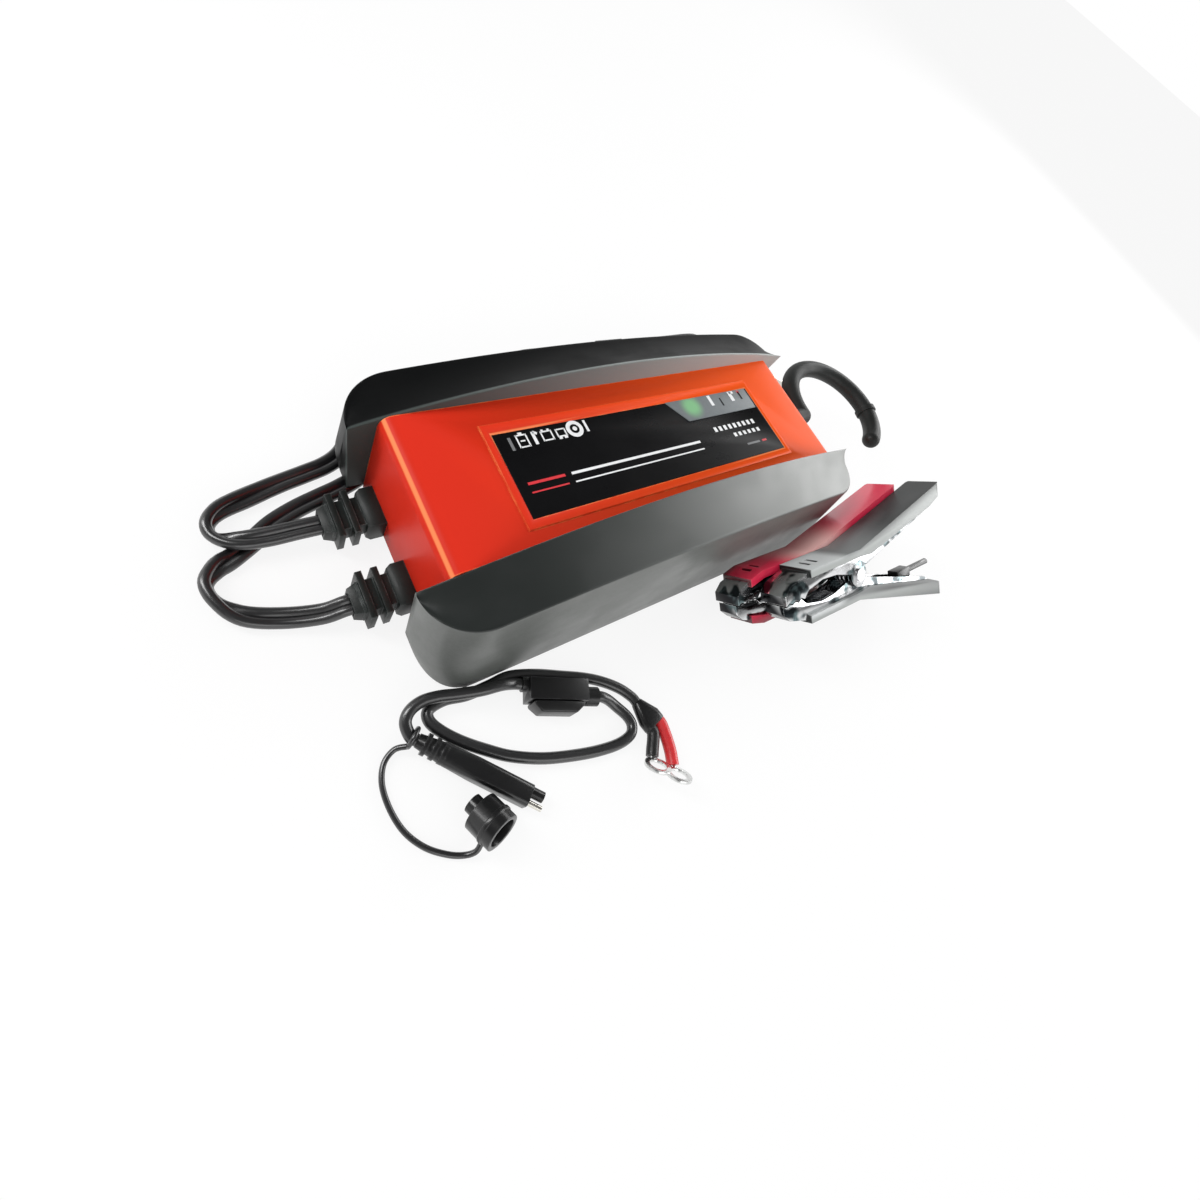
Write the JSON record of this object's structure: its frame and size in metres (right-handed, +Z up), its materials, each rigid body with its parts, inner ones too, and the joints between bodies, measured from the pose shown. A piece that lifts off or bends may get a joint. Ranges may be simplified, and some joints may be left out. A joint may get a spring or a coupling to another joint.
{
  "type": "car battery charger",
  "caption": "Small flat battery charger with side rails, swivel hanging hook, mains and output leads, a pair of spring clamps and a fused ring-terminal harness.",
  "frame": {"origin": "centre of the flat underside of the base cover, on the surface that the charger stands on", "axes": "+Z up, +X along the case towards the hook, -Y towards the clamps and the ring-terminal harness that lie beside it"},
  "size_m": [0.2821, 0.1692, 0.0488],
  "materials": {
    "housing": "smooth semi-gloss red-orange ABS",
    "black_plastic": "satin black plastic",
    "rail_grey": "satin dark grey soft-touch plastic",
    "rail_black": "satin near-black soft-touch plastic",
    "label": "smooth black film",
    "window": "smooth grey film",
    "seal": "matte black foam rubber",
    "board": "green solder mask",
    "ferrite": "dark grey ferrite",
    "winding": "copper under yellow tape",
    "capacitor": "dark blue sleeve",
    "heatsink": "plain extruded aluminium",
    "led": "clear tinted lens",
    "light_guide": "clear acrylic",
    "screw": "zinc plated steel",
    "foot": "matte black rubber",
    "fuse": "white ceramic tube",
    "terminal": "green terminal block",
    "inner_lead": "insulated wire",
    "relief": "matte dark grey moulded rubber",
    "hook": "satin charcoal nylon",
    "cord": "glossy black PVC sheath",
    "plug": "satin black moulded plug",
    "blade": "bright contact metal",
    "jaw_steel": "bright plated sheet steel",
    "pin": "turned steel",
    "spring": "spring wire",
    "red_cover": "glossy red dipped plastic",
    "black_cover": "glossy dark grey plastic",
    "ring": "tinned copper",
    "red_sleeve": "red heat-shrink sleeve",
    "black_sleeve": "black heat-shrink sleeve"
  },
  "bodies": {
    "charger": {"top_cover": "housing", "base_cover": "black_plastic", "near_rail": "rail_grey", "far_rail": "rail_black", "label_panel": "label", "indicator_window": "window", "cover_seal": "seal", "circuit_board": "board", "transformer_core": "ferrite", "transformer_winding": "winding", "capacitors": "capacitor", "heatsink": "heatsink", "power_transistors": "black_plastic", "indicator_leds": "led", "light_guides": "light_guide", "board_screws": "screw", "cover_screws": "screw", "rail_screws": "screw", "feet": "foot", "board_fuse": "fuse", "lead_terminals": "terminal", "inner_leads": "inner_lead", "ac_strain_relief": "relief", "dc_strain_relief": "relief", "hook_bush": "black_plastic", "ac_cord": "cord", "ac_cord_hank": "cord", "ac_cord_tie": "plug", "ac_plug": "plug", "ac_plug_blades": "blade", "dc_cord": "cord", "dc_connector": "plug", "dc_connector_pin": "blade", "red_upper_jaw": "jaw_steel", "red_pivot_pin": "pin", "red_spring": "spring", "red_upper_cover": "red_cover", "black_upper_jaw": "jaw_steel", "black_pivot_pin": "pin", "black_spring": "spring", "black_upper_cover": "black_cover", "harness_tail": "cord", "harness_loop": "cord", "harness_fork": "plug", "fuse_holder": "plug", "quick_plug": "plug", "quick_plug_pin": "blade", "plug_cap": "plug", "cap_tether": "cord", "ring_terminals": "ring", "red_sleeve": "red_sleeve", "black_sleeve": "black_sleeve"},
    "hook": {"hook": "hook", "hook_clip": "screw"},
    "red_clamp_arm": {"red_lower_jaw": "jaw_steel", "red_lower_cover": "red_cover"},
    "black_clamp_arm": {"black_lower_jaw": "jaw_steel", "black_lower_cover": "black_cover", "clamp_wire_crimp": "plug"},
    "fuse_cap": {"fuse_cap": "plug"}
  },
  "joints": [
    {"name": "hook_swivel", "type": "hinge", "parent": "charger", "child": "hook", "pos_m": [0.084, 0, 0.028], "axis": [1, 0, 0], "range_deg": [-90, 90]},
    {"name": "red_clamp", "type": "hinge", "parent": "charger", "child": "red_clamp_arm", "pos_m": [0.05431, -0.05989, 0.01668], "axis": [-0.0457, -0.5432, 0.8384], "range_deg": [0, 22], "stiffness_Nm_per_rad": 0.5, "springref_deg": -22.92, "deforming": ["red_spring"]},
    {"name": "black_clamp", "type": "hinge", "parent": "charger", "child": "black_clamp_arm", "pos_m": [0.06166, -0.06779, 0.02854], "axis": [-0.0457, -0.5432, 0.8384], "range_deg": [0, 22], "stiffness_Nm_per_rad": 0.5, "springref_deg": -22.92, "deforming": ["black_spring"]},
    {"name": "fuse_cap_pull", "type": "slide", "parent": "charger", "child": "fuse_cap", "axis": [-0.4274, -0.9041, 0], "range_m": [0, 0.007]}
  ]
}
